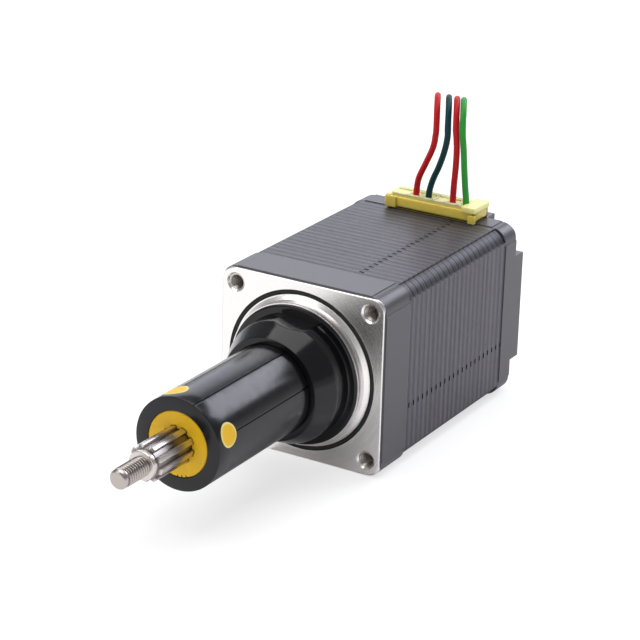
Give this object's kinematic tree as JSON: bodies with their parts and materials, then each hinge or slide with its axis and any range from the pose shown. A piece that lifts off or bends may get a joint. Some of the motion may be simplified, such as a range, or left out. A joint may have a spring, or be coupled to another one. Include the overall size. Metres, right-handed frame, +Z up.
{
  "type": "captive linear stepper motor",
  "caption": "Square-bodied captive linear stepper motor: a nut in the rotor drives a splined plunger out of a round guide sleeve; threaded stud, pilot boss and top connector with leads.",
  "frame": {"origin": "centre of the front mounting face, on the shaft axis", "axes": "-Y is the direction the plunger extends, +Z is up through the connector, +X to the right seen from the front"},
  "size_m": [0.0311, 0.111, 0.0466],
  "materials": {
    "black_bell": "satin black coating, machined front face",
    "seal_rubber": "matte",
    "lamination_steel": "blued stack with fine stripes",
    "screw_steel": "bright zinc",
    "insulator_plastic": "natural nylon",
    "copper": "enamelled copper wire",
    "bearing_steel": "ground and polished",
    "spring_steel": "satin",
    "black_base": "semi-gloss moulded",
    "black_sleeve": "glossy tube",
    "yellow_bushing": "moulded, slightly waxy",
    "connector_plastic": "translucent aged nylon",
    "plug_plastic": "translucent nylon",
    "pin_metal": "tinned pins",
    "terminal_metal": "tinned crimps",
    "board_laminate": "green laminate",
    "lead_red": "soft insulation",
    "lead_teal": "soft insulation",
    "lead_green": "soft insulation",
    "lead_bundle": "soft insulation",
    "tie_plastic": "nylon",
    "hub_steel": "turned",
    "nut_plastic": "moulded acetal",
    "rotor_steel": "ground stack",
    "magnet": "nickel-plated magnet",
    "shaft_steel": "stainless, fine ground",
    "stop_steel": "black oxide",
    "cage_plastic": "nylon cage",
    "ball_steel": "polished"
  },
  "bodies": {
    "root": {"front_bell": "black_bell", "seal_ring": "seal_rubber", "stator_laminations": "lamination_steel", "rear_bell": "black_bell", "case_screws": "screw_steel", "front_winding_insulator": "insulator_plastic", "rear_winding_insulator": "insulator_plastic", "phase_a_windings": "copper", "phase_b_windings": "copper", "front_bearing_outer_race": "bearing_steel", "rear_bearing_outer_race": "bearing_steel", "wave_spring": "spring_steel", "sleeve_base": "black_base", "guide_sleeve": "black_sleeve", "spline_bushing": "yellow_bushing", "connector_header": "connector_plastic", "connector_plug": "plug_plastic", "connector_pins": "pin_metal", "crimp_terminals": "terminal_metal", "circuit_board": "board_laminate", "lead_red_left": "lead_red", "lead_teal": "lead_teal", "lead_red_right": "lead_red", "lead_green": "lead_green", "lead_coil": "lead_bundle", "coil_tie": "tie_plastic"},
    "rotor": {"rotor_hub": "hub_steel", "drive_nut": "nut_plastic", "rotor_stack_1": "rotor_steel", "rotor_magnet_1": "magnet", "rotor_stack_2": "rotor_steel", "rotor_stack_3": "rotor_steel", "rotor_magnet_2": "magnet", "rotor_stack_4": "rotor_steel", "front_bearing_inner_race": "bearing_steel", "rear_bearing_inner_race": "bearing_steel"},
    "plunger": {"splined_shaft": "shaft_steel", "threaded_stud": "shaft_steel", "lead_screw": "shaft_steel", "stop_ring": "stop_steel"},
    "front_cage": {"front_bearing_cage": "cage_plastic", "front_bearing_balls": "ball_steel"},
    "rear_cage": {"rear_bearing_cage": "cage_plastic", "rear_bearing_balls": "ball_steel"}
  },
  "joints": [
    {"name": "rotor_spin", "type": "hinge", "parent": "root", "child": "rotor", "pos_m": [0, 0.02, 0], "axis": [0, 1, 0], "range_deg": [0, 3600]},
    {"name": "plunger_slide", "type": "slide", "parent": "root", "child": "plunger", "axis": [0, -1, 0], "range_m": [0, 0.0255]},
    {"name": "front_cage_spin", "type": "hinge", "parent": "root", "child": "front_cage", "pos_m": [0, 0.0029, 0], "axis": [0, 1, 0], "range_deg": [0, 1520]},
    {"name": "rear_cage_spin", "type": "hinge", "parent": "root", "child": "rear_cage", "pos_m": [0, 0.0399, 0], "axis": [0, 1, 0], "range_deg": [0, 1520]}
  ],
  "couplings": [
    {"joint": "plunger_slide", "follows": "rotor_spin", "m_per_rad": 0.00040425},
    {"joint": "front_cage_spin", "follows": "rotor_spin", "ratio": 0.42},
    {"joint": "rear_cage_spin", "follows": "rotor_spin", "ratio": 0.42}
  ]
}
